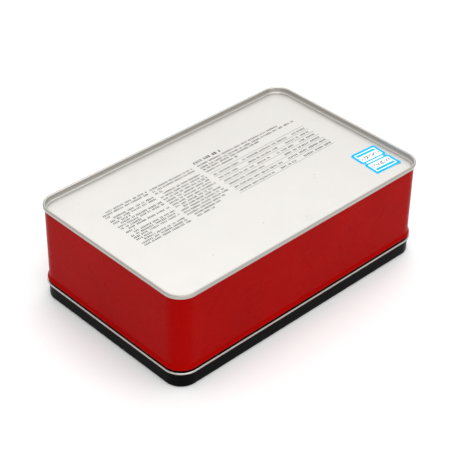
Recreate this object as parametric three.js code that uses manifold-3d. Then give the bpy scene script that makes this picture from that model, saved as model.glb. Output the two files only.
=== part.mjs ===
// A rectangular slip-lid tin, shown upside down: it stands on the outer face of its lid, and its base plate,
// held by a double seam, is on top. Units are millimetres, +Z is up, and the origin is the middle of the
// lid's outer face. The three pressed pieces are thin sheets: each has a cross-section, drawn as the sheet's
// centreline, that runs all round the tin. In a section, x is the distance from the centre of a corner's
// arc and y is the height, so that x = CORNER_RADIUS is the outer face of the body wall.
import * as THREE from 'three';
import { mergeVertices } from 'three/addons/utils/BufferGeometryUtils.js';
import Module from 'manifold-3d';

// Driving dimensions.
const BODY_LENGTH = 250;
const BODY_WIDTH = 155.5;
const TIN_HEIGHT = 83;
const CORNER_RADIUS = 14;
const SHEET = 0.25;

// The lid: a drawn tray with a rounded edge, and a skirt whose raw edge is curled outwards.
const LID_CLEARANCE = 0.2;
const LID_EDGE_RADIUS = 1.5;
const LID_CURL_RADIUS = 0.85;
const LID_CURL_HEIGHT = 13.3;
const LID_CURL_TURN = 290;

// The body wall: an inward curl at the mouth, a stop bead above the lid, and a hook in the base seam.
const REST_GAP = 0.3;
const MOUTH_CURL_RADIUS = 1.2;
const MOUTH_CURL_TURN = 285;
const BEAD_FOOT = 15.2;
const BEAD_CREST = 16.7;
const BEAD_SHOULDER = 20.4;
const BEAD_REACH = 1.4;
const BEAD_FOOT_EASE = 0.4;
const BEAD_CREST_EASE = 0.8;
const BEAD_SHOULDER_EASE = 0.55;

// The double seam that joins the wall and the base plate.
const SEAM_GAP = 0.15;
const SEAM_HEIGHT = 3;
const SEAM_CROWN_RADIUS = 0.5;
const HOOK_TIP_GAP = 0.5;

// The base plate: a panel sunk below the seam, with a countersink round its edge.
const PANEL_DEPTH = 4.5;
const COUNTERSINK_DEPTH = 0.25;
const COUNTERSINK_RADIUS = 1.0;
const COUNTERSINK_RAMP = 0.9;
const RAMP_EASE = 0.45;

// The side seam: above the bead, the ends of the body blank are folded together inside one long side.
const SIDE_SEAM_WIDTH = 5;
const SIDE_SEAM_THICKNESS = 0.75;
const SIDE_SEAM_LINE_WIDTH = 0.4;
const SIDE_SEAM_LINE_DEPTH = 0.12;
const SIDE_SEAM_END_GAP = 0.4;

// Two paper labels stuck side by side near one corner of the base plate.
const LABEL_LENGTH = 25.6;
const LABEL_WIDTH = 15.3;
const LABEL_THICKNESS = 0.12;
const LABEL_OUTER_RADIUS = 0.8;
const LABEL_INNER_RADIUS = 2.4;
const LABEL_LIFT = 0.05;
const LABEL_PITCH = 15.5;
const LABEL_CENTRE = new THREE.Vector2(105.1, -48.2);
const LABEL_TURN = -4;

const CORNER_STEPS = 6;
const CURVE_STEPS = 4;
const HALF = SHEET / 2;
const EPSILON = 1e-6;

const wasm = await Module();
wasm.setup();

const turn = THREE.MathUtils.degToRad;
const material = (color, roughness, metalness) =>
  new THREE.MeshStandardMaterial({ color, roughness, metalness });

const redLitho = material('#a81a15', 0.35, 0.1);
const silverLitho = material('#dedcd6', 0.35, 0.8);
const blackLitho = material('#151415', 0.4, 0.1);
const labelPaper = material('#f2f6fb', 0.8, 0);

// The two faces of a sheet that follows a centreline: out along one face, and back along the other.
function sheetSection(centreline) {
  const points = centreline.getPoints(CURVE_STEPS).filter((point, i, all) =>
    i === 0 || point.distanceTo(all[i - 1]) > EPSILON);
  const directions = points.slice(1).map((point, i) => point.clone().sub(points[i]).normalize());
  const face = (side) => points.map((point, i) => {
    const before = directions[Math.max(i - 1, 0)];
    const after = directions[Math.min(i, directions.length - 1)];
    const along = before.clone().add(after).normalize();
    const mitre = (side * HALF) / along.dot(after);
    return new THREE.Vector2(point.x - along.y * mitre, point.y + along.x * mitre);
  });
  return [...face(-1), ...face(1).reverse()];
}

// Runs a section round the tin: a lathe whose four quarters are drawn apart to the tin's corners.
// A section point on the lathe's axis goes to the middle of the tin, which closes a panel.
function roundTheTin(section) {
  const columnsPerCorner = CORNER_STEPS + 1;
  const columns = 4 * columnsPerCorner;
  const geometry = new THREE.LatheGeometry(section, columns);
  const position = geometry.getAttribute('position');
  for (let column = 0; column <= columns; column++) {
    const corner = Math.floor(column / columnsPerCorner) % 4;
    const angle = turn(90 * (corner + (column % columnsPerCorner) / CORNER_STEPS));
    const cornerX = (corner === 0 || corner === 3 ? 1 : -1) * (BODY_LENGTH / 2 - CORNER_RADIUS);
    const cornerY = (corner < 2 ? 1 : -1) * (BODY_WIDTH / 2 - CORNER_RADIUS);
    section.forEach((point, row) => {
      const onAxis = point.x < EPSILON;
      const x = onAxis ? 0 : cornerX + point.x * Math.cos(angle);
      const y = onAxis ? 0 : cornerY + point.x * Math.sin(angle);
      position.setXYZ(column * section.length + row, x, y, point.y);
    });
  }
  return withoutSeams(geometry);
}

// A ring of sheet, whose section closes on itself.
function ringOfSheet(centreline) {
  const section = sheetSection(centreline);
  return roundTheTin([...section, section[0].clone()]);
}

// A panel of sheet, whose section starts and ends on the axis.
function panelOfSheet(centreline) {
  return roundTheTin(sheetSection(centreline));
}

function withoutSeams(geometry) {
  geometry.deleteAttribute('normal');
  geometry.deleteAttribute('uv');
  return mergeVertices(geometry);
}

function toSolid(geometry) {
  return new wasm.Manifold(new wasm.Mesh({
    numProp: 3,
    vertProperties: geometry.getAttribute('position').array,
    triVerts: Uint32Array.from(geometry.getIndex().array),
  }));
}

function toGeometry(solid) {
  const mesh = solid.getMesh();
  const geometry = new THREE.BufferGeometry();
  geometry.setAttribute('position', new THREE.BufferAttribute(mesh.vertProperties, 3));
  geometry.setIndex(new THREE.BufferAttribute(mesh.triVerts, 1));
  return geometry;
}

function boxBetween(low, high) {
  const size = high.clone().sub(low);
  const middle = low.clone().add(high).multiplyScalar(0.5);
  const box = new THREE.BoxGeometry(size.x, size.y, size.z);
  box.translate(middle.x, middle.y, middle.z);
  return toSolid(withoutSeams(box));
}

// The lid, mouth down on the tin: its outer face is at height 0 and its skirt rises round the tin's neck.
function lidGeometry() {
  const skirt = CORNER_RADIUS + LID_CLEARANCE + HALF;
  const edge = LID_EDGE_RADIUS - HALF;
  const curl = LID_CURL_RADIUS - HALF;
  const line = new THREE.Path();
  line.moveTo(0, HALF);
  line.lineTo(skirt - edge, HALF);
  line.absarc(skirt - edge, HALF + edge, edge, turn(-90), 0, false);
  line.lineTo(skirt, LID_CURL_HEIGHT);
  line.absarc(skirt + curl, LID_CURL_HEIGHT, curl, turn(180), turn(180 - LID_CURL_TURN), true);
  return panelOfSheet(line);
}

// Heights and places that the body wall and the base plate share in the double seam.
const wallLine = CORNER_RADIUS - HALF;
const layer = SHEET + SEAM_GAP;
const hookBend = layer;
const seamTop = TIN_HEIGHT - HALF;
const seamFoot = TIN_HEIGHT - SEAM_HEIGHT + HALF;
const hookTop = TIN_HEIGHT - SHEET - SEAM_GAP - HALF - hookBend;

function bodyWallGeometry() {
  const curl = MOUTH_CURL_RADIUS - HALF;
  const mouth = SHEET + REST_GAP + MOUTH_CURL_RADIUS;
  const crest = wallLine + BEAD_REACH;
  const line = new THREE.Path();
  const tip = turn(360 - MOUTH_CURL_TURN);
  line.moveTo(wallLine - curl + curl * Math.cos(tip), mouth + curl * Math.sin(tip));
  line.absarc(wallLine - curl, mouth, curl, tip, turn(360), false);
  line.lineTo(wallLine, BEAD_FOOT);
  const rise = BEAD_CREST - BEAD_FOOT;
  line.bezierCurveTo(
    wallLine, BEAD_FOOT + BEAD_FOOT_EASE * rise,
    crest, BEAD_CREST - BEAD_CREST_EASE * rise,
    crest, BEAD_CREST,
  );
  const fall = BEAD_SHOULDER - BEAD_CREST;
  line.bezierCurveTo(
    crest, BEAD_CREST + BEAD_FOOT_EASE * fall,
    wallLine, BEAD_SHOULDER - BEAD_SHOULDER_EASE * fall,
    wallLine, BEAD_SHOULDER,
  );
  line.lineTo(wallLine, hookTop);
  line.absarc(wallLine + hookBend, hookTop, hookBend, turn(180), 0, true);
  line.lineTo(wallLine + 2 * hookBend, seamFoot + HOOK_TIP_GAP);
  return ringOfSheet(line);
}

// The wall with its side seam: a flat fold inside, and a fine line outside where the two ends meet.
function bodyWall() {
  const inside = BODY_WIDTH / 2 - SHEET;
  const foldTop = TIN_HEIGHT - PANEL_DEPTH - COUNTERSINK_DEPTH - SHEET - SIDE_SEAM_END_GAP;
  const foldFoot = BEAD_SHOULDER + SIDE_SEAM_END_GAP;
  const fold = boxBetween(
    new THREE.Vector3(-SIDE_SEAM_WIDTH / 2, inside - SIDE_SEAM_THICKNESS, foldFoot),
    new THREE.Vector3(SIDE_SEAM_WIDTH / 2, inside + HALF, foldTop),
  );
  const groove = boxBetween(
    new THREE.Vector3(-SIDE_SEAM_LINE_WIDTH / 2, BODY_WIDTH / 2 - SIDE_SEAM_LINE_DEPTH, BEAD_SHOULDER),
    new THREE.Vector3(SIDE_SEAM_LINE_WIDTH / 2, BODY_WIDTH / 2 + 1, foldTop),
  );
  return toGeometry(toSolid(bodyWallGeometry()).add(fold).subtract(groove));
}

// The base plate: panel, countersink, chuck wall inside the body wall, and the seam folded over the hook.
function basePlateGeometry() {
  const chuckWall = wallLine - layer;
  const panel = TIN_HEIGHT - PANEL_DEPTH - HALF;
  const sink = panel - COUNTERSINK_DEPTH;
  const sinkFoot = chuckWall - COUNTERSINK_RADIUS;
  const panelEdge = sinkFoot - COUNTERSINK_RAMP;
  const outside = wallLine + 3 * layer;
  const crown = seamTop - SEAM_CROWN_RADIUS;
  const foot = seamFoot + hookBend;
  const line = new THREE.Path();
  line.moveTo(0, panel);
  line.lineTo(panelEdge, panel);
  line.bezierCurveTo(
    panelEdge + RAMP_EASE * COUNTERSINK_RAMP, panel,
    sinkFoot - RAMP_EASE * COUNTERSINK_RAMP, sink,
    sinkFoot, sink,
  );
  line.absarc(sinkFoot, sink + COUNTERSINK_RADIUS, COUNTERSINK_RADIUS, turn(-90), 0, false);
  line.lineTo(chuckWall, crown);
  line.absarc(chuckWall + SEAM_CROWN_RADIUS, crown, SEAM_CROWN_RADIUS, turn(180), turn(90), true);
  line.lineTo(outside - SEAM_CROWN_RADIUS, seamTop);
  line.absarc(outside - SEAM_CROWN_RADIUS, crown, SEAM_CROWN_RADIUS, turn(90), 0, true);
  line.lineTo(outside, foot);
  line.absarc(outside - hookBend, foot, hookBend, 0, turn(-180), true);
  line.lineTo(wallLine + layer, hookTop - SEAM_GAP);
  return panelOfSheet(line);
}

// A label with nearly square corners on its outer long side and round ones where it meets the other label.
function labelGeometry() {
  const x = LABEL_LENGTH / 2;
  const y = LABEL_WIDTH / 2;
  const outer = LABEL_OUTER_RADIUS;
  const inner = LABEL_INNER_RADIUS;
  const outline = new THREE.Shape();
  outline.moveTo(-x + inner, -y);
  outline.absarc(x - inner, -y + inner, inner, turn(-90), 0, false);
  outline.absarc(x - outer, y - outer, outer, 0, turn(90), false);
  outline.absarc(-x + outer, y - outer, outer, turn(90), turn(180), false);
  outline.absarc(-x + inner, -y + inner, inner, turn(180), turn(270), false);
  return new THREE.ExtrudeGeometry(outline, {
    depth: LABEL_THICKNESS,
    bevelEnabled: false,
    curveSegments: CURVE_STEPS,
  });
}

function namedMesh(name, geometry, finish) {
  const mesh = new THREE.Mesh(geometry, finish);
  mesh.name = name;
  return mesh;
}

// The pair of labels lies in its own group, turned a little on the panel; side 1 is nearer the tin's middle.
function labels() {
  const pair = new THREE.Group();
  pair.position.set(LABEL_CENTRE.x, LABEL_CENTRE.y, TIN_HEIGHT - PANEL_DEPTH + LABEL_LIFT);
  pair.rotation.z = turn(LABEL_TURN);
  for (const [name, side] of [['inner_price_label', 1], ['outer_price_label', -1]]) {
    const label = namedMesh(name, labelGeometry(), labelPaper);
    label.position.y = (side * LABEL_PITCH) / 2;
    label.rotation.z = side > 0 ? 0 : Math.PI;
    pair.add(label);
  }
  return pair;
}

const tin = new THREE.Group();
tin.add(namedMesh('lid', lidGeometry(), blackLitho));
tin.add(namedMesh('body_wall', bodyWall(), redLitho));
tin.add(namedMesh('base_plate', basePlateGeometry(), silverLitho));
tin.add(labels());

export default tin;
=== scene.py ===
"""A lithographed slip-lid tin standing upside down on its lid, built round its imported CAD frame.

Sizes below are in millimetres, and mesh code turns them into metres. A sheet's section is drawn as
(out, height) points: out is the distance outwards from the body wall's outer face, and height is above
the floor. A section is swept round the tin's rounded rectangle.
"""

import math
import random

import bmesh
import bpy
from mathutils import Matrix, Vector


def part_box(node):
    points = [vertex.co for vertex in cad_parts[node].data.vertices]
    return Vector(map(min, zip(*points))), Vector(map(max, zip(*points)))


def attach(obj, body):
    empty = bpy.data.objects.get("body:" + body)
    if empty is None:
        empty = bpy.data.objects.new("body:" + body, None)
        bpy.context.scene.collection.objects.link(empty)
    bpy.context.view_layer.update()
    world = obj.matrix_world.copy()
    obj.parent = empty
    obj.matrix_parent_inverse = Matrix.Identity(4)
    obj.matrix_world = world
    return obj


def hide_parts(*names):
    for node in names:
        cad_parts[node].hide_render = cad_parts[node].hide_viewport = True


MM = 0.001
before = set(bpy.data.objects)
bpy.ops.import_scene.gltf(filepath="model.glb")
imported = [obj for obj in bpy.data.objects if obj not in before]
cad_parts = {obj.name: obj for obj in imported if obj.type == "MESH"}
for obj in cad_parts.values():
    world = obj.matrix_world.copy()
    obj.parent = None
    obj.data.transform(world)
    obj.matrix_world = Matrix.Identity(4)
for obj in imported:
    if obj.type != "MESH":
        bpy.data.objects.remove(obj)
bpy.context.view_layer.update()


def high_corner_mm(node):
    """A CAD node's highest corner at rest, in millimetres."""
    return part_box(node)[1] / MM


# Driving dimensions, from the frame where it gives them.
SHEET = 0.25
HALF = SHEET / 2
CORNER_RADIUS = 14
SEAM_REACH = 1.2
SEAM_GAP = 0.15
SEAM_HEIGHT = 3.0
SEAM_CROWN_RADIUS = 0.66
HOOK_TIP_GAP = 0.5
LID_CLEARANCE = 0.2
LID_EDGE_RADIUS = 1.5
LID_CURL_RADIUS = 0.85
LID_CURL_TURN = 300
REST_GAP = 0.3
MOUTH_CURL_RADIUS = 1.2
MOUTH_CURL_TURN = 300
BEAD_FOOT = 15.2
BEAD_CREST = 16.7
BEAD_SHOULDER = 20.4
BEAD_REACH = 1.4
BEAD_FOOT_EASE = 0.4
BEAD_CREST_EASE = 0.8
BEAD_SHOULDER_EASE = 0.55
# The bead's black band: painted shade standing in for the dark gap between the bead and the lid's curl.
BEAD_SHADE_BAND_WIDTH = 2.4
BEAD_SHADE_BAND_OVERLAP = 0.15
PANEL_DEPTH = 4.5
COUNTERSINK_DEPTH = 0.25
COUNTERSINK_RADIUS = 1.0
COUNTERSINK_RAMP = 0.9
RAMP_EASE = 0.45
SIDE_SEAM_WIDTH = 5.0
SIDE_SEAM_THICKNESS = 0.75
SIDE_SEAM_LINE_WIDTH = 0.4
SIDE_SEAM_LINE_DEPTH = 0.12
SIDE_SEAM_END_GAP = 0.4
LABEL_LENGTH = 25.6
LABEL_WIDTH = 15.3
LABEL_THICKNESS = 0.12
LABEL_LIFT = 0.05
LABEL_PITCH = 15.5
LABEL_CENTRE = Vector((105.1, -48.2))
LABEL_TURN = math.radians(-4)
INK_THICKNESS = 0.03
INK_SINK = 0.01
PANEL_BOW = 0.1

plate_corner = high_corner_mm("base_plate")
HALF_LENGTH = plate_corner.x - SEAM_REACH
HALF_WIDTH = plate_corner.y - SEAM_REACH
TOP = plate_corner.z
PANEL_TOP = TOP - PANEL_DEPTH
LID_CURL_HEIGHT = high_corner_mm("lid").z - LID_CURL_RADIUS
LAYER = SHEET + SEAM_GAP
WALL_LINE = -HALF
HOOK_TOP = TOP - SHEET - SEAM_GAP - HALF - LAYER
SEAM_FOOT = TOP - SEAM_HEIGHT + HALF
SIDE_SEAM_TOP = PANEL_TOP - COUNTERSINK_DEPTH - SHEET - SIDE_SEAM_END_GAP

CORNER_STEPS = 20
SIDE_STEP = 6.0
SHARP_EDGE = math.radians(38)
PANEL_RINGS = (0.985, 0.96, 0.92, 0.86, 0.78, 0.68, 0.57, 0.45, 0.32, 0.18, 0.07)
SEAM_LINE_OFFSETS = [SIDE_SEAM_LINE_WIDTH * part for part in (-0.5, -0.3, 0.3, 0.5)]


# Shaping helpers.
def arc(out, height, radius, start, end, steps=12):
    """Points on an arc in a section, with its angles in degrees."""
    angles = [math.radians(start + (end - start) * i / steps) for i in range(steps + 1)]
    return [Vector((out + radius * math.cos(a), height + radius * math.sin(a))) for a in angles]


def bezier(start, start_pull, end_pull, end, steps=12):
    """Points on a cubic curve in a section."""
    points = []
    for i in range(steps + 1):
        t = i / steps
        weights = ((1 - t) ** 3, 3 * t * (1 - t) ** 2, 3 * t * t * (1 - t), t ** 3)
        controls = (start, start_pull, end_pull, end)
        points.append(sum((w * Vector(c) for w, c in zip(weights, controls)), Vector((0, 0))))
    return points


def sheet_faces(centreline):
    """The two faces of a sheet that follows a centreline: on its right, and on its left."""
    points = [centreline[0]]
    for point in centreline[1:]:
        if (point - points[-1]).length > 1e-4:
            points.append(point)
    directions = [(b - a).normalized() for a, b in zip(points, points[1:])]
    right, left = [], []
    for i, point in enumerate(points):
        before = directions[max(i - 1, 0)]
        after = directions[min(i, len(directions) - 1)]
        along = (before + after).normalized()
        side = Vector((along.y, -along.x)) * HALF / along.dot(after)
        right.append(point + side)
        left.append(point - side)
    return right, left


def stations():
    """Points round the wall's outer face, each with its outward direction, anticlockwise from above."""
    found = []
    flat_x, flat_y = HALF_LENGTH - CORNER_RADIUS, HALF_WIDTH - CORNER_RADIUS
    corners = [(flat_x, flat_y), (-flat_x, flat_y), (-flat_x, -flat_y), (flat_x, -flat_y)]
    for quarter, (x, y) in enumerate(corners):
        for step in range(CORNER_STEPS + 1):
            angle = math.pi / 2 * (quarter + step / CORNER_STEPS)
            outward = Vector((math.cos(angle), math.sin(angle)))
            found.append((Vector((x, y)) + CORNER_RADIUS * outward, outward))
        next_x, next_y = corners[(quarter + 1) % 4]
        side = Vector((next_x - x, next_y - y))
        pieces = round(side.length / SIDE_STEP)
        start = found[-1][0]
        along = [side.length * i / pieces for i in range(1, pieces)]
        if quarter == 0:
            along = sorted(along + [side.length / 2 + offset for offset in SEAM_LINE_OFFSETS])
        found += [(start + side.normalized() * distance, outward) for distance in along]
    return found


STATIONS = stations()


def warp(x, y):
    """How far the base panel bows out of flat: thin plate is never quite even."""
    fade = (1 - (x / HALF_LENGTH) ** 2) * (1 - (y / HALF_WIDTH) ** 2)
    wave = math.sin(x / 31 + 0.6) * math.cos(y / 24 - 0.4) + 0.6 * math.sin(y / 37 + x / 53)
    return PANEL_BOW * fade * wave


def panel_height(x, y):
    return PANEL_TOP + warp(x, y)


class Builder:
    """Collects a piece's vertices and faces, and makes the finished object."""

    def __init__(self, name, materials):
        self.name = name
        self.materials = materials
        self.mesh = bmesh.new()

    def ring(self, point):
        """A ring of vertices: one section point carried round the tin."""
        return [
            self.mesh.verts.new((*(place + outward * point.x), point.y))
            for place, outward in STATIONS
        ]

    def bridge(self, low, high, material):
        """Quads between two rings, facing right of the way from the first to the second."""
        count = len(low)
        for i in range(count):
            after = (i + 1) % count
            face = self.mesh.faces.new((low[i], low[after], high[after], high[i]))
            face.material_index = material

    def sweep(self, points, material):
        """Rings through all the points, bridged; material is a number or a function of a point."""
        rings = [self.ring(point) for point in points]
        for i in range(len(rings) - 1):
            middle = (points[i] + points[i + 1]) / 2
            index = material(middle) if callable(material) else material
            self.bridge(rings[i], rings[i + 1], index)
        return rings

    def fill_panel(self, edge, material, facing_up):
        """Closes a ring with a panel: ever smaller copies of it, down to a middle point."""
        rings = [edge]
        for scale in PANEL_RINGS:
            rings.append([self.mesh.verts.new((v.co.x * scale, v.co.y * scale, v.co.z)) for v in edge])
        for outer, inner in zip(rings, rings[1:]):
            if facing_up:
                self.bridge(outer, inner, material)
            else:
                self.bridge(inner, outer, material)
        middle = self.mesh.verts.new((0, 0, edge[0].co.z))
        last = rings[-1]
        for a, b in zip(last, last[1:] + last[:1]):
            corners = (a, b, middle) if facing_up else (b, a, middle)
            self.mesh.faces.new(corners).material_index = material
        return [v for ring in rings[1:] for v in ring] + [middle]

    def box(self, low, high, material=0, turn=Matrix.Identity(4)):
        """A closed box between two corners, then turned."""
        made = bmesh.ops.create_cube(self.mesh, size=1)
        low, high = Vector(low), Vector(high)
        place = Matrix.Translation((low + high) / 2) @ Matrix.Diagonal((*(high - low), 1))
        bmesh.ops.transform(self.mesh, matrix=turn @ place, verts=made["verts"])
        for face in {f for v in made["verts"] for f in v.link_faces}:
            face.material_index = material
        return made["verts"]

    def ribbon(self, path, width, height, thickness, material=0):
        """A closed flat strip along a path of (x, y) points; height is a function of x and y."""
        sides = []
        for i, point in enumerate(path):
            along = (path[min(i + 1, len(path) - 1)] - path[max(i - 1, 0)]).normalized()
            across = Vector((-along.y, along.x)) * width / 2
            sides.append((point + across, point - across))
        self.plate([left for left, _ in sides], [right for _, right in sides], height, thickness, material)

    def plate(self, left, right, height, thickness, material=0):
        """A closed flat strip between two edges; height is a function of x and y."""
        rows = []
        for ends in zip(left, right):
            low = [self.mesh.verts.new((*end, height(*end))) for end in ends]
            high = [self.mesh.verts.new((*end, height(*end) + thickness)) for end in ends]
            rows.append((high[0], high[1], low[1], low[0]))
        faces = [rows[0], rows[-1][::-1]]
        for a, b in zip(rows, rows[1:]):
            faces += [(a[i], b[i], b[(i + 1) % 4], a[(i + 1) % 4]) for i in range(4)]
        for corners in faces:
            self.mesh.faces.new(corners[::-1]).material_index = material

    def finish(self, body, slot, *replaced):
        """Makes the object in metres, smooth except across real edges, and gives it its body; slot is not
        used.
        """
        bmesh.ops.scale(self.mesh, vec=(MM, MM, MM), verts=self.mesh.verts)
        for edge in self.mesh.edges:
            edge.smooth = edge.calc_face_angle(0) < SHARP_EDGE
        for face in self.mesh.faces:
            face.smooth = True
        data = bpy.data.meshes.new(self.name)
        self.mesh.to_mesh(data)
        self.mesh.free()
        for material in self.materials:
            data.materials.append(material)
        piece = bpy.data.objects.new(self.name, data)
        bpy.context.scene.collection.objects.link(piece)
        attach(piece, body)
        if replaced:
            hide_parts(*replaced)
        return piece


# Materials.
class Nodes:
    """A new node material with short ways to add and join its nodes."""

    def __init__(self, name):
        self.material = bpy.data.materials.new(name)
        self.material.use_nodes = True
        self.tree = self.material.node_tree
        self.shader = self.tree.nodes["Principled BSDF"]
        self.place = self.add("ShaderNodeTexCoord").outputs["Object"]

    def add(self, kind, **settings):
        node = self.tree.nodes.new(kind)
        for key, value in settings.items():
            setattr(node, key, value)
        return node

    def join(self, source, target):
        self.tree.links.new(source, target)

    def stretched(self, scale):
        """The object's coordinates, in metres, multiplied by a scale for each axis."""
        mapping = self.add("ShaderNodeMapping")
        mapping.inputs["Scale"].default_value = scale
        self.join(self.place, mapping.inputs["Vector"])
        return mapping.outputs["Vector"]

    def noise(self, scale, detail=3, roughness=0.5, vector=None):
        node = self.add("ShaderNodeTexNoise")
        node.inputs["Scale"].default_value = scale
        node.inputs["Detail"].default_value = detail
        node.inputs["Roughness"].default_value = roughness
        self.join(vector or self.place, node.inputs["Vector"])
        return node.outputs["Fac"]

    def span(self, value, low, high, to_low, to_high):
        """Maps one range of a value to another, without going past its ends."""
        node = self.add("ShaderNodeMapRange")
        self.join(value, node.inputs["Value"])
        for key, number in (("From Min", low), ("From Max", high), ("To Min", to_low), ("To Max", to_high)):
            node.inputs[key].default_value = number
        return node.outputs["Result"]

    def math(self, operation, first, second):
        node = self.add("ShaderNodeMath", operation=operation)
        for socket, value in zip(node.inputs, (first, second)):
            if isinstance(value, (int, float)):
                socket.default_value = value
            else:
                self.join(value, socket)
        return node.outputs["Value"]

    def mix(self, amount, first, second):
        """A colour between two colours; each is a colour or a socket."""
        node = self.add("ShaderNodeMix", data_type="RGBA")
        self.join(amount, node.inputs["Factor"])
        colours = [socket for socket in node.inputs if socket.type == "RGBA"]
        for socket, value in zip(colours, (first, second)):
            if isinstance(value, tuple):
                socket.default_value = (*value, 1)
            else:
                self.join(value, socket)
        return next(socket for socket in node.outputs if socket.type == "RGBA")

    def bump(self, height, depth, strength=1.0):
        """Surface relief of a depth in millimetres."""
        node = self.add("ShaderNodeBump")
        node.inputs["Distance"].default_value = depth * MM
        node.inputs["Strength"].default_value = strength
        self.join(height, node.inputs["Height"])
        self.join(node.outputs["Normal"], self.shader.inputs["Normal"])

    def set(self, **values):
        for key, value in values.items():
            self.shader.inputs[key.replace("_", " ")].default_value = value


def lacquer(name, colour, deep_colour, roughness, specular, relief, metallic=0.0, tones_and_painted_shade=()):
    """Printed lacquer on tinplate: faint cloudy and grainy tone, fine orange peel, a few hairline rubs.

    Each band is (colour, height it starts at, height it is full at): a colour the lacquer turns to with
    height. A band can be painted shade, as on the silver base's chuck wall.
    """
    n = Nodes(name)
    clouds = n.math("MULTIPLY", n.noise(22, 4, 0.55), 0.5)
    grain = n.math("MULTIPLY", n.noise(800, 2, 0.5), 0.5)
    tone = n.mix(n.span(n.math("ADD", clouds, grain), 0.4, 0.6, 0, 1), colour, deep_colour)
    for band_colour, start, full in tones_and_painted_shade:
        height = n.add("ShaderNodeSeparateXYZ")
        n.join(n.place, height.inputs["Vector"])
        ragged = n.math("ADD", height.outputs["Z"], n.math("MULTIPLY", n.noise(260, 3), 0.3 * MM))
        tone = n.mix(n.span(ragged, start * MM, full * MM, 0, 1), tone, band_colour)
    rubs = n.noise(1, 5, 0.7, n.stretched((30, 900, 260)))
    rubbed = n.span(rubs, 0.66, 0.74, 0, 1)
    n.join(tone, n.shader.inputs["Base Color"])
    sheen_spread = n.span(n.noise(60, 3), 0.3, 0.7, roughness - 0.03, roughness + 0.04)
    n.join(n.math("ADD", sheen_spread, n.math("MULTIPLY", rubbed, 0.08)), n.shader.inputs["Roughness"])
    n.bump(n.noise(420, 2, 0.5), relief, 0.4)
    n.set(Metallic=metallic, Specular_IOR_Level=specular)
    return n.material


def tinplate():
    """Bare tinned steel: bright, with the fine grain that rolling leaves along the plate."""
    n = Nodes("bare_tinplate")
    grain = n.noise(1, 4, 0.6, n.stretched((60, 60, 4200)))
    crystals = n.noise(160, 3, 0.6)
    tone = n.mix(n.span(crystals, 0.35, 0.65, 0, 1), (0.47, 0.455, 0.425), (0.51, 0.495, 0.46))
    n.join(tone, n.shader.inputs["Base Color"])
    n.join(n.span(grain, 0.3, 0.7, 0.18, 0.28), n.shader.inputs["Roughness"])
    n.bump(grain, 0.004, 0.4)
    n.set(Metallic=1.0)
    return n.material


def ink():
    """Thin dark print, a little uneven, as ink laid on lacquer is."""
    n = Nodes("print_ink")
    patchy = n.span(n.noise(900, 2), 0.35, 0.65, 0, 1)
    n.join(n.mix(patchy, (0.008, 0.008, 0.008), (0.03, 0.028, 0.025)), n.shader.inputs["Base Color"])
    n.join(n.span(patchy, 0, 1, 0.5, 0.68), n.shader.inputs["Roughness"])
    n.bump(n.noise(1600, 2), 0.004, 0.4)
    n.set(Specular_IOR_Level=0.05)
    return n.material


def paper(name, colour, faded_colour):
    """Printed or plain label paper: soft fibres and slightly uneven tone."""
    n = Nodes(name)
    fibres = n.noise(2600, 4, 0.65)
    n.join(n.mix(n.span(fibres, 0.35, 0.65, 0, 1), colour, faded_colour), n.shader.inputs["Base Color"])
    n.join(n.span(fibres, 0.3, 0.7, 0.72, 0.88), n.shader.inputs["Roughness"])
    n.bump(fibres, 0.01, 0.5)
    n.set(Specular_IOR_Level=0.05)
    return n.material


red_lacquer = lacquer("red_lacquer", (0.335, 0.0006, 0.0), (0.295, 0.0006, 0.0), 0.28, 0.022, 0.004)
# The silver base's first band is painted shade: it darkens the chuck wall, the recess between the panel and
# the seam, and the second band lifts the tone back up near the crown.
silver_lacquer = lacquer(
    "silver_lacquer", (0.565, 0.55, 0.525), (0.555, 0.54, 0.515), 0.38, 0.5, 0.0006, 0.9,
    [((0.46, 0.445, 0.41), TOP - 3.4, TOP - 2.6), ((0.56, 0.545, 0.51), TOP - 0.9, TOP - 0.6)],
)
seam_lacquer = lacquer(
    "seam_lacquer", (0.44, 0.43, 0.40), (0.42, 0.41, 0.385), 0.38, 0.5, 0.0006, 0.9,
    [((0.35, 0.34, 0.305), TOP - 0.35, TOP - 0.1)],
)
black_lacquer = lacquer("black_lacquer", (0.002, 0.002, 0.0022), (0.003, 0.003, 0.003), 0.3, 0.032, 0.004)
bare_tinplate = tinplate()
print_ink = ink()
white_paper = paper("white_paper", (0.90, 0.93, 0.97), (0.86, 0.89, 0.94))
blue_paper = paper("blue_paper", (0.0, 0.42, 0.98), (0.0, 0.40, 0.94))
pale_blue_paper = paper("pale_blue_paper", (0.52, 0.75, 0.95), (0.46, 0.71, 0.92))


# The three pressed sheets.
def make_lid():
    """The lid: black outside, and bare inside, which is the face that its curl turns outwards."""
    skirt = LID_CLEARANCE + HALF
    edge = LID_EDGE_RADIUS - HALF
    curl = LID_CURL_RADIUS - HALF
    line = arc(skirt - edge, HALF + edge, edge, -90, 0, 10)
    line += [Vector((skirt, height)) for height in (4, 8, 11.5)]
    line += arc(skirt + curl, LID_CURL_HEIGHT, curl, 180, 180 - LID_CURL_TURN, 30)
    outer, inner = sheet_faces(line)
    lid = Builder("lid_shell", [black_lacquer, bare_tinplate])
    outer_rings = lid.sweep(outer, 0)
    inner_rings = lid.sweep(inner[::-1], 1)
    lid.bridge(outer_rings[-1], inner_rings[0], 1)
    lid.fill_panel(outer_rings[0], 0, facing_up=False)
    lid.fill_panel(inner_rings[-1], 1, facing_up=True)
    return lid.finish("lid", "black_lid_lacquer", "lid")


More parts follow.
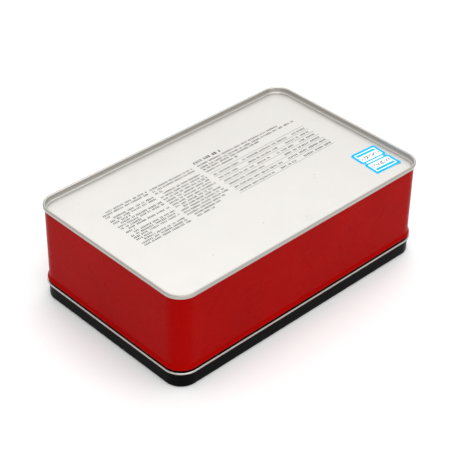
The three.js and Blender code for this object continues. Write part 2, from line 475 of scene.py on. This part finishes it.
def body_section():
    curl = MOUTH_CURL_RADIUS - HALF
    mouth = SHEET + REST_GAP + MOUTH_CURL_RADIUS
    crest = WALL_LINE + BEAD_REACH
    line = arc(WALL_LINE - curl, mouth, curl, 360 - MOUTH_CURL_TURN, 360, 30)
    line.append(Vector((WALL_LINE, BEAD_FOOT - BEAD_SHADE_BAND_WIDTH)))
    rise = BEAD_CREST - BEAD_FOOT
    line += bezier(
        (WALL_LINE, BEAD_FOOT), (WALL_LINE, BEAD_FOOT + BEAD_FOOT_EASE * rise),
        (crest, BEAD_CREST - BEAD_CREST_EASE * rise), (crest, BEAD_CREST), 14,
    )
    fall = BEAD_SHOULDER - BEAD_CREST
    line += bezier(
        (crest, BEAD_CREST), (crest, BEAD_CREST + BEAD_FOOT_EASE * fall),
        (WALL_LINE, BEAD_SHOULDER - BEAD_SHOULDER_EASE * fall), (WALL_LINE, BEAD_SHOULDER), 14,
    )
    heights = [BEAD_SHOULDER + SIDE_SEAM_END_GAP, *range(26, 74, 8), SIDE_SEAM_TOP, HOOK_TOP - 1]
    line += [Vector((WALL_LINE, height)) for height in heights]
    line += arc(WALL_LINE + LAYER, HOOK_TOP, LAYER, 180, 0, 12)
    line.append(Vector((WALL_LINE + 2 * LAYER, SEAM_FOOT + HOOK_TIP_GAP)))
    return line


def make_body():
    """The body wall: red outside down to the mouth's curl, and bare inside; the black band under the bead is
    painted shade for the dark gap between the bead and the lid's curl.
    """
    outer, inner = sheet_faces(body_section())
    print_end = SHEET + REST_GAP + 2 * MOUTH_CURL_RADIUS
    body = Builder("body_shell", [red_lacquer, bare_tinplate, black_lacquer])
    shade_band_foot, shade_band_top = BEAD_FOOT - BEAD_SHADE_BAND_WIDTH, BEAD_FOOT + BEAD_SHADE_BAND_OVERLAP

    # Material 2, black, under the bead is painted shade for the dark gap between the bead and the lid's
    # curl; the red above the mouth's curl and the bare tinplate below it are the real print and metal.
    def print_or_painted_shade(point):
        if shade_band_foot < point.y < shade_band_top:
            return 2
        return 0 if point.y > print_end else 1

    outer_rings = body.sweep(outer, print_or_painted_shade)
    inner_rings = body.sweep(inner[::-1], 1)
    body.bridge(outer_rings[-1], inner_rings[0], 1)
    body.bridge(inner_rings[-1], outer_rings[0], 1)
    add_side_seam(body)
    return body.finish("tin", "red_wall_lacquer", "body_wall")


def add_side_seam(body):
    """Where the body blank's ends meet: a fine sunk line outside, and a flat fold inside."""
    foot = BEAD_SHOULDER + SIDE_SEAM_END_GAP
    for vertex in body.mesh.verts:
        x, y, z = vertex.co
        if abs(x) < 0.4 * SIDE_SEAM_LINE_WIDTH and y > HALF_WIDTH - HALF and foot <= z <= SIDE_SEAM_TOP:
            vertex.co.y -= SIDE_SEAM_LINE_DEPTH
    inside = HALF_WIDTH - SHEET
    half = SIDE_SEAM_WIDTH / 2
    body.box((-half, inside - SIDE_SEAM_THICKNESS, foot), (half, inside + HALF / 2, SIDE_SEAM_TOP), 1)


def make_base():
    """The base plate: its silver face is the panel's top, the chuck wall, and the whole seam outside."""
    chuck_wall = WALL_LINE - LAYER
    panel = PANEL_TOP - HALF
    sink = panel - COUNTERSINK_DEPTH
    sink_foot = chuck_wall - COUNTERSINK_RADIUS
    panel_edge = sink_foot - COUNTERSINK_RAMP
    outside = WALL_LINE + 3 * LAYER
    crown = TOP - HALF - SEAM_CROWN_RADIUS
    line = bezier(
        (panel_edge, panel), (panel_edge + RAMP_EASE * COUNTERSINK_RAMP, panel),
        (sink_foot - RAMP_EASE * COUNTERSINK_RAMP, sink), (sink_foot, sink), 10,
    )
    line += arc(sink_foot, sink + COUNTERSINK_RADIUS, COUNTERSINK_RADIUS, -90, 0, 10)
    line += arc(chuck_wall + SEAM_CROWN_RADIUS, crown, SEAM_CROWN_RADIUS, 180, 90, 9)
    line += arc(outside - SEAM_CROWN_RADIUS, crown, SEAM_CROWN_RADIUS, 90, 0, 9)
    line += arc(outside - LAYER, SEAM_FOOT + LAYER, LAYER, 0, -180, 14)
    line.append(Vector((WALL_LINE + LAYER, HOOK_TOP - SEAM_GAP)))
    under, top = sheet_faces(line)
    base = Builder("base_shell", [silver_lacquer, bare_tinplate, seam_lacquer])
    top_rings = base.sweep(top[::-1], lambda point: 2 if point.x > 0 else 0)
    under_rings = base.sweep(under, 1)
    base.bridge(under_rings[-1], top_rings[0], 1)
    bowed = base.fill_panel(top_rings[-1], 0, facing_up=True)
    bowed += base.fill_panel(under_rings[0], 1, facing_up=False)
    for vertex in bowed:
        vertex.co.z += warp(vertex.co.x, vertex.co.y)
    return base.finish("tin", "silver_base_lacquer", "base_plate")


# The print: rows of abstract marks, in groups, that stand for fine text.
COLUMNS = [
    # left, right, first row's y, row pitch, rows, {row: (its left, its right)} where they differ
    (-97.5, -53.2, 38.0, 2.88, 18, {
        0: (-92.5, -53.2), 2: (-97.5, -92.3), 3: (-92.5, -53.2), 5: (-97.5, -80.8), 6: (-92.5, -53.2),
        8: (-97.5, -77.8), 9: (-92.5, -53.2), 10: (-97.5, -87.8), 11: (-92.5, -53.2),
        14: (-97.5, -82.8), 15: (-92.5, -53.2),
    }),
    (-50.4, -6.6, 37.6, 3.19, 16, {
        2: (-50.4, -43.0), 3: (-45.4, -6.6), 9: (-50.4, -12.0), 10: (-45.4, -6.6), 13: (-50.4, -12.0),
        14: (-46.0, -19.3), 15: (-46.0, -26.3),
    }),
]
HEADING = (-2.6, 25.3, 41.9)
HEADING_MARK = (2.3, 2.6)
PARAGRAPH = [(-2.6, 85.4, 37.1), (-2.6, 98.9, 33.6), (-2.6, 57.6, 30.6), (-2.6, 30.8, 27.1)]
RULE_WIDTH = 0.22
RULE_STEPS = 50
RULES = {"left": -3.0, "right": 99.1, "top": 23.4, "pitch": 5.62, "count": 7}
TABLE_ROWS = [
    [(-1, 25), (29, 77), (83, 98)],
    [(-1, 18), (30, 61), (70, 98)],
    [(-1, 31), (34, 48), (55, 74), (80, 98)],
    [(-1, 36), (58, 98)],
    [(-1, 50), (56, 98)],
    [(-1, 37), (43, 60), (68, 98)],
]
SPECKS = [(-20, -45.6), (-17, -49), (52.4, -33.5), (55, -30.6), (12, -64), (-70, -52), (-100, 60)]


def add_block(marks, x, y, width, height):
    marks.ribbon([Vector((x, y)), Vector((x + width, y))], height, ink_height, INK_THICKNESS)


def ink_height(x, y):
    return panel_height(x, y) - INK_SINK


def add_marks(marks, chance, left, right, y, cell=1.5, height=1.6):
    """A row of marks in groups: each mark is two small blocks, some heavier, which make no letter."""
    x = left
    while x < right:
        group_end = min(right, x + cell * chance.randint(2, 8))
        while x + 0.7 * cell < group_end:
            low = cell * chance.uniform(0.48, 0.68)
            high = cell * chance.uniform(0.36, 0.62)
            weight = height * chance.choice((0.38, 0.48, 0.56, 0.56))
            add_block(marks, x, y - 0.29 * height, low, weight)
            add_block(marks, x + chance.uniform(0, 0.68 * cell - high), y + 0.29 * height, high, weight)
            x += cell
        x += cell * chance.uniform(0.6, 1.3)


def make_print():
    chance = random.Random(7)
    marks = Builder("base_print", [print_ink])
    for left, right, first, pitch, rows, exceptions in COLUMNS:
        for row in range(rows):
            start, end = exceptions.get(row, (left, right))
            add_marks(marks, chance, start, end, first - pitch * row)
    left, right, y = HEADING
    add_marks(marks, chance, left, right, y, *HEADING_MARK)
    for left, right, y in PARAGRAPH:
        add_marks(marks, chance, left, right, y)
    for row in range(RULES["count"]):
        y = RULES["top"] - row * RULES["pitch"]
        reach = RULES["right"] - RULES["left"]
        path = [Vector((RULES["left"] + reach * i / RULE_STEPS, y)) for i in range(RULE_STEPS + 1)]
        marks.ribbon(path, RULE_WIDTH, ink_height, INK_THICKNESS)
    for row, groups in enumerate(TABLE_ROWS):
        y = RULES["top"] - RULES["pitch"] * (row + 0.55)
        for left, right in groups:
            add_marks(marks, chance, left, right, y)
    for x, y in SPECKS:
        add_block(marks, x, y, chance.uniform(0.3, 0.8), chance.uniform(0.25, 0.5))
    return marks.finish("tin", "black_lid_lacquer")


# The two labels. A label's own plan has its outer long side towards +y.
BORDER = 2.3
WHITE_LINE = 1.0
LABEL_BAR = 2.4
LABEL_FRAME = 0.5
STRIP_WIDTH = 0.7
STROKE_WIDTH = 0.62
CORNER_LIFT = 0.8
LIFT_REACH = 7.0


def label_outline(inset, radii):
    """Points round a label's outline, moved in by an inset; a radius for each corner, from (+x, +y) on."""
    half_x, half_y = LABEL_LENGTH / 2 - inset, LABEL_WIDTH / 2 - inset
    points = []
    signs = [(1, 1), (-1, 1), (-1, -1), (1, -1)]
    for quarter, ((sign_x, sign_y), radius) in enumerate(zip(signs, radii)):
        radius = max(radius - inset, 0.15)
        centre = Vector((sign_x * (half_x - radius), sign_y * (half_y - radius)))
        for step in range(7):
            angle = math.pi / 2 * (quarter + step / 6)
            points.append(centre + radius * Vector((math.cos(angle), math.sin(angle))))
        next_x, next_y = signs[(quarter + 1) % 4]
        next_radius = max(radii[(quarter + 1) % 4] - inset, 0.15)
        ahead = Vector((next_x * (half_x - next_radius), next_y * (half_y - next_radius)))
        angle = math.pi / 2 * (quarter + 1)
        end = ahead + next_radius * Vector((math.cos(angle), math.sin(angle)))
        start = points[-1]
        points += [start.lerp(end, i / 12) for i in range(1, 12)]
    return points


def label_strip(label, start, end, width, material):
    """A printed line between two points on a label, on top of its paper."""
    start, end = Vector(start), Vector(end)
    steps = max(2, round((end - start).length / 1.5))
    path = [start.lerp(end, i / steps) for i in range(steps + 1)]
    label.ribbon(path, width, lambda x, y: LABEL_THICKNESS, INK_THICKNESS, material)


def add_label_strokes(label, chance, material):
    """Pen strokes along the label's white field: short bent squiggles that make no letters."""
    x = -0.36 * LABEL_LENGTH
    while x < 0.34 * LABEL_LENGTH:
        size = chance.uniform(2.8, 5.0)
        turn = chance.uniform(0.6, 1.9)
        bend = chance.uniform(2.0, 4.5)
        path = [
            Vector((x + size * 0.3 * math.sin(bend * t), -1.3 + size * (t - 0.5) * math.sin(turn)))
            for t in (i / 8 for i in range(9))
        ]
        label.ribbon(path, STROKE_WIDTH, lambda x, y: LABEL_THICKNESS, INK_THICKNESS, material)
        x += chance.uniform(1.1, 2.9)


def make_label(name, side, radii, lift, strip_ends, replaced):
    label = Builder(name, [blue_paper, white_paper, pale_blue_paper, print_ink])
    rings = []
    insets = [(0, LABEL_THICKNESS), (BORDER, LABEL_THICKNESS), (BORDER + WHITE_LINE, LABEL_THICKNESS)]
    insets += [(inset, LABEL_THICKNESS) for inset in (4.0, 5.5, 7.0)]
    for inset, z in [(7.0, 0), (4.0, 0), (2.0, 0), (0, 0)] + insets:
        rings.append([label.mesh.verts.new((*point, z)) for point in label_outline(inset, radii)])
    for i, (outer, inner) in enumerate(zip(rings, rings[1:])):
        label.bridge(outer, inner, 0 if i == 4 else 1)
    label.mesh.faces.new(rings[0][::-1]).material_index = 1
    label.mesh.faces.new(rings[-1]).material_index = 1

    field_x = LABEL_LENGTH / 2 - BORDER - WHITE_LINE
    field_y = LABEL_WIDTH / 2 - BORDER - WHITE_LINE
    bar_y = field_y - LABEL_BAR / 2
    frame_x, frame_y = field_x - LABEL_FRAME / 2, LABEL_FRAME / 2 - field_y + 0.3
    label_strip(label, (-field_x, bar_y), (field_x, bar_y), LABEL_BAR, 0)
    for x in (-frame_x, frame_x):
        label_strip(label, (x, frame_y + 1.2), (x, bar_y - LABEL_BAR / 2), LABEL_FRAME, 2)
    label_strip(label, (1.2 - field_x, frame_y), (field_x - 1.2, frame_y), LABEL_FRAME, 2)
    strip_y = STRIP_WIDTH / 2 - LABEL_WIDTH / 2
    label_strip(label, (strip_ends[0], strip_y), (strip_ends[1], strip_y), STRIP_WIDTH, 1)
    add_label_strokes(label, random.Random(side + 4), 3)

    turn = Matrix.Rotation(LABEL_TURN, 2)
    lifted = Vector((-LABEL_LENGTH, LABEL_WIDTH)) / 2
    for vertex in label.mesh.verts:
        plan = vertex.co.xy
        near_corner = max(0, 1 - (plan - lifted).length / LIFT_REACH)
        x, y = LABEL_CENTRE + turn @ (side * (plan + Vector((0, LABEL_PITCH / 2))))
        vertex.co = (x, y, panel_height(x, y) + LABEL_LIFT + vertex.co.z + lift * near_corner ** 2)
    return label.finish("tin", "label_paper", replaced)


def make_labels():
    make_label("inner_label", 1, (0.5, 3, 3, 3), 0, (-9.2, 8.1), "inner_price_label")
    make_label("outer_label", -1, (0.5, 0.5, 3, 3), CORNER_LIFT, (-8.1, 9.2), "outer_price_label")


# Surroundings, in metres and watts.
FLOOR_SIZE = 12
LIGHTS = [
    # name, place, target, width, length, power
    ("overhead", (0.0, -0.3, 1.4), (0, 0, 0), 1.2, 1.2, 7),
    ("far_softbox", (1.0, 0.95, 1.0), (0, 0, 0.08), 2.4, 1.7, 5),
    ("high_softbox", (0.65, 0.6, 1.5), (0, 0, 0.08), 1.6, 1.2, 4),
    ("right_fill", (-0.15, -1.3, 0.95), (0, 0, 0.05), 0.6, 0.6, 2.0),
    ("front_fill", (-0.97, -0.99, 1.2), (0, 0, 0.08), 0.6, 0.6, 2.0),
]
CAMERA_PLACE = (-0.62797, -0.64319, 0.70002)
CAMERA_AZIMUTH = math.radians(-43.933)
CAMERA_ELEVATION = math.radians(36.21)
CAMERA_ROLL = math.radians(0.792)
CAMERA_LENS = 116.67


def make_floor():
    bpy.ops.mesh.primitive_plane_add(size=FLOOR_SIZE)
    floor = bpy.context.object
    floor.name = "floor"
    n = Nodes("floor_white")
    n.set(Base_Color=(0.86, 0.86, 0.86, 1), Roughness=0.9, Specular_IOR_Level=0.0)
    floor.data.materials.append(n.material)


def make_light(name, place, target, width, length, power):
    light = bpy.data.lights.new(name, "AREA")
    light.shape = "RECTANGLE"
    light.size, light.size_y, light.energy = width, length, power
    lamp = bpy.data.objects.new(name, light)
    lamp.location = place
    lamp.rotation_mode = "QUATERNION"
    lamp.rotation_quaternion = (Vector(target) - Vector(place)).to_track_quat("-Z", "Y")
    bpy.context.scene.collection.objects.link(lamp)


def make_world(low, high):
    """A white surround that is dimmer near the horizon than above."""
    world = bpy.data.worlds.new("studio")
    world.use_nodes = True
    tree = world.node_tree
    place = tree.nodes.new("ShaderNodeTexCoord")
    split = tree.nodes.new("ShaderNodeSeparateXYZ")
    rise = tree.nodes.new("ShaderNodeMapRange")
    for key, number in (("From Min", 0.05), ("From Max", 0.5), ("To Min", low), ("To Max", high)):
        rise.inputs[key].default_value = number
    background = tree.nodes["Background"]
    background.inputs["Color"].default_value = (1, 1, 1, 1)
    tree.links.new(place.outputs["Generated"], split.inputs["Vector"])
    tree.links.new(split.outputs["Z"], rise.inputs["Value"])
    tree.links.new(rise.outputs["Result"], background.inputs["Strength"])
    bpy.context.scene.world = world


def make_camera():
    """The camera stands off the near corner, looking down at the tin, with a long lens."""
    camera = bpy.data.objects.new("camera", bpy.data.cameras.new("camera"))
    camera.data.lens = CAMERA_LENS
    camera.data.sensor_width = 36
    aim = Matrix.Rotation(CAMERA_AZIMUTH, 4, "Z") @ Matrix.Rotation(math.pi / 2 - CAMERA_ELEVATION, 4, "X")
    roll = Matrix.Rotation(CAMERA_ROLL, 4, "Z")
    camera.matrix_world = Matrix.Translation(CAMERA_PLACE) @ aim @ roll
    bpy.context.scene.collection.objects.link(camera)
    bpy.context.scene.camera = camera


make_camera()
make_lid()
make_body()
make_base()
make_print()
make_labels()
make_floor()
for settings in LIGHTS:
    make_light(*settings)
make_world(0.45, 1.0)
bpy.context.scene.view_settings.view_transform = "Standard"
